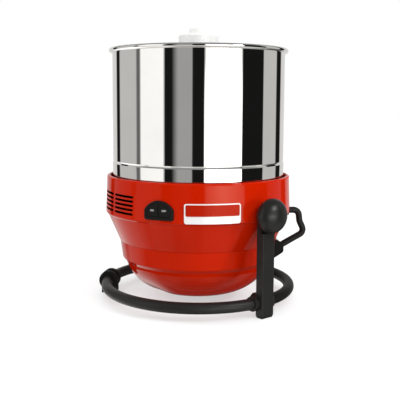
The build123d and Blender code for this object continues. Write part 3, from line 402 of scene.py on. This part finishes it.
def sun(name, deg, elevation, strength, angle):
    data = bpy.data.lights.new(name, "SUN")
    data.energy = strength
    data.angle = math.radians(angle)
    obj = bpy.data.objects.new(name, data)
    obj.rotation_mode = "QUATERNION"
    obj.rotation_quaternion = bearing(deg, elevation).to_track_quat("Z", "Y")
    obj.visible_glossy = False
    bpy.context.scene.collection.objects.link(obj)


def softbox(name, deg, elevation, distance, size, radiance):
    data = bpy.data.lights.new(name, "AREA")
    data.shape = "DISK"
    data.size = size
    data.energy = radiance * math.pi * math.pi * size * size / 4
    obj = bpy.data.objects.new(name, data)
    out = bearing(deg, elevation)
    obj.rotation_mode = "QUATERNION"
    obj.rotation_quaternion = out.to_track_quat("Z", "Y")
    obj.location = out * distance + Vector((0, 0, 0.17))
    bpy.context.scene.collection.objects.link(obj)


sun("dome", 0, 89.9, 3.0, 120)
sun("front", 4, 28, 2.0, 55)
sun("right", 74, 8, 1.8, 16)
sun("left", -84, 14, 2.0, 60)
sun("back", 172, 35, 1.2, 80)
softbox("key", 51, 33, 1.5, 0.28, 44.0)

world = bpy.data.worlds.new("studio")
bpy.context.scene.world = world
world.cycles_visibility.diffuse = False
world.use_nodes = True
wt = world.node_tree
wt.nodes.clear()
w_out = wt.nodes.new("ShaderNodeOutputWorld")
w_co = wt.nodes.new("ShaderNodeTexCoord")


def w_dot(v):
    n = wt.nodes.new("ShaderNodeVectorMath")
    n.operation = "DOT_PRODUCT"
    wt.links.new(w_co.outputs["Generated"], n.inputs[0])
    n.inputs[1].default_value = v
    return n.outputs["Value"]


def w_range(val, f0, f1, t0=0.0, t1=1.0, smooth=True):
    n = wt.nodes.new("ShaderNodeMapRange")
    n.interpolation_type = "SMOOTHSTEP" if smooth else "LINEAR"
    wt.links.new(val, n.inputs["Value"])
    n.inputs["From Min"].default_value, n.inputs["From Max"].default_value = f0, f1
    n.inputs["To Min"].default_value, n.inputs["To Max"].default_value = t0, t1
    return n.outputs["Result"]


def w_mix(fac, a, b):
    n = wt.nodes.new("ShaderNodeMix")
    n.data_type = "RGBA"
    for sock, val in ((n.inputs[0], fac), (n.inputs[6], a), (n.inputs[7], b)):
        if isinstance(val, bpy.types.NodeSocket):
            wt.links.new(val, sock)
        else:
            sock.default_value = (*val, 1.0)
    return n.outputs[2]


w_az = wt.nodes.new("ShaderNodeMath")
w_az.operation = "ARCTAN2"
wt.links.new(w_dot(tuple(RIGHT)), w_az.inputs[0])
wt.links.new(w_dot(tuple(FWD)), w_az.inputs[1])
w_turn = w_range(w_az.outputs[0], -math.pi, math.pi, smooth=False)
w_z = w_dot((0, 0, 1))


def w_stripes(stops):
    """Colour by bearing: (bearing, value) stops, degrees from the camera, + to the right."""
    node = wt.nodes.new("ShaderNodeValToRGB")
    node.color_ramp.interpolation = "LINEAR"
    el = node.color_ramp.elements
    while len(el) < len(stops):
        el.new(0.5)
    for e, (deg, val) in zip(el, stops):
        e.position = (deg + 180) / 360
        e.color = (val, val * 0.995, val * 0.975, 1.0)
    wt.links.new(w_turn, node.inputs["Fac"])
    return node.outputs["Color"]


def w_el(lo, hi):
    return w_range(w_z, math.sin(math.radians(lo)), math.sin(math.radians(hi)))


# upright panels and dark flags round the studio; the brightest panel has a strip light at the drum's height
WHITE, SHEET, LIGHT, MID, DIM, BLACK = 1.2, 0.75, 0.6, 0.4, 0.15, 0.01


def w_panels(edge, strip):
    """Studio cards and black flags standing round the object, and one strip light: (from, to, level)."""
    rows = [(-180, -139, SHEET), (-137, -127, BLACK), (-126, -89, LIGHT), (-87, -82, DIM), (-80, -46, WHITE), (-44, -34, BLACK),
            (-26, -8, MID), (-7, 8, BLACK), (9, 9, edge), (30, 30, strip), (57, 57, edge), (59, 93, BLACK), (94, 123, LIGHT),
            (125, 138, BLACK), (140, 180, SHEET)]
    return w_stripes([(deg, level) for lo, hi, level in rows for deg in sorted({lo, hi})])


w_band = w_mix(w_el(-7, -11), w_panels(4.0, 11.0), w_panels(1.20, 1.35))
w_band = w_mix(w_el(0, 4), w_band, w_panels(1.35, 1.35))
w_band = w_mix(w_el(12, 20), w_band, w_panels(0.70, 0.70))
w_soft = wt.nodes.new("ShaderNodeMix")                    # the pale floor, with the panels faintly in it
w_soft.data_type = "RGBA"
w_soft.inputs[0].default_value = 0.38
w_soft.inputs[6].default_value = (1.05, 1.04, 1.0, 1.0)
wt.links.new(w_panels(1.0, 1.0), w_soft.inputs[7])
w_under = w_mix(w_el(-22, -34), (0.30, 0.30, 0.29), w_soft.outputs[2])
w_under = w_mix(w_el(-62, -82), w_under, (0.34, 0.33, 0.31))
w_under = w_mix(w_range(w_dot(tuple(FWD)), -0.10, -0.50), w_under, (0.10, 0.095, 0.09))
w_under = w_mix(w_range(w_dot(tuple(bearing(-128, -22))), 0.74, 0.92), w_under, (1.5, 1.48, 1.45))
w_col = w_mix(w_el(-14, -24), w_band, w_under)
w_col = w_mix(w_el(34, 52), w_col, (0.30, 0.30, 0.30))
w_path = wt.nodes.new("ShaderNodeLightPath")
w_col = w_mix(w_path.outputs["Is Camera Ray"], w_col, (1.0, 1.0, 1.0))
w_bg = wt.nodes.new("ShaderNodeBackground")
wt.links.new(w_col, w_bg.inputs["Color"])
wt.links.new(w_bg.outputs[0], w_out.inputs["Surface"])

bpy.context.scene.view_settings.view_transform = "Standard"
